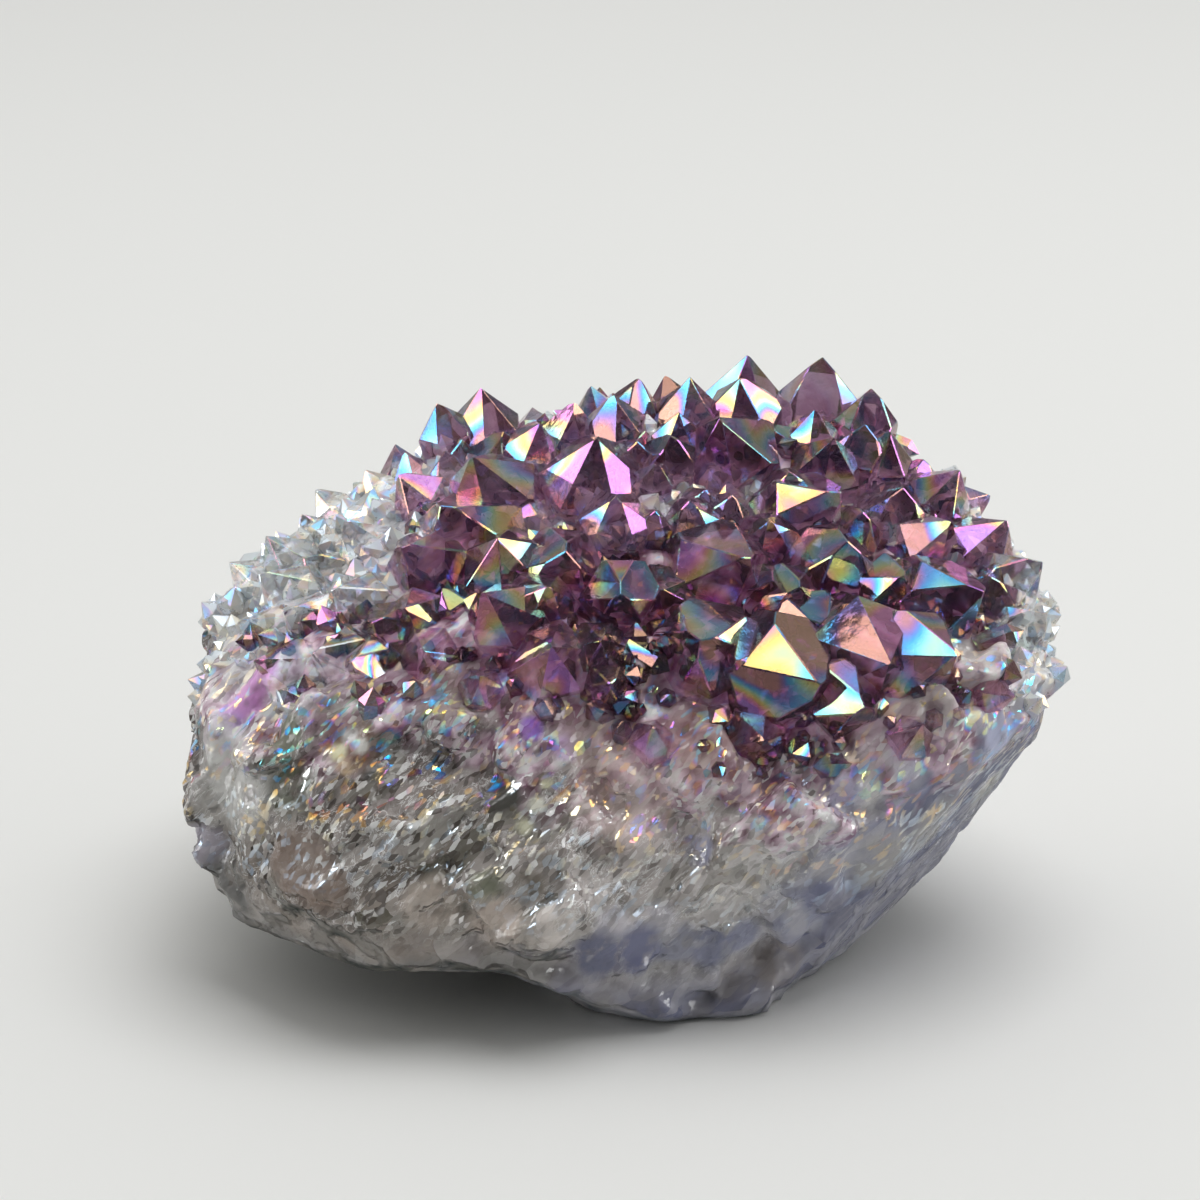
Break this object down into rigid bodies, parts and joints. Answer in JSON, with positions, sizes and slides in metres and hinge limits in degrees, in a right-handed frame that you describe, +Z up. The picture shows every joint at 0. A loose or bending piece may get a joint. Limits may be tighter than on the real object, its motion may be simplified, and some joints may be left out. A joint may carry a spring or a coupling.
{
  "type": "aura amethyst cluster",
  "caption": "Broken piece of geode wall that rests on a flat underside, with a crown of pointed amethyst crystals under an iridescent film.",
  "frame": {"origin": "middle of the bounding box's floor", "axes": "+Z up from the face that it rests on, +X to the right along the longest side, +Y to the back; the broken wall faces -Y"},
  "size_m": [0.1054, 0.0784, 0.0628],
  "materials": {
    "amethyst": "plum quartz, glossy and partly clear, with a thin iridescent metal-oxide film; milky grey where it is broken"
  },
  "bodies": {
    "root": {"amethyst_cluster": "amethyst"}
  },
  "joints": []
}
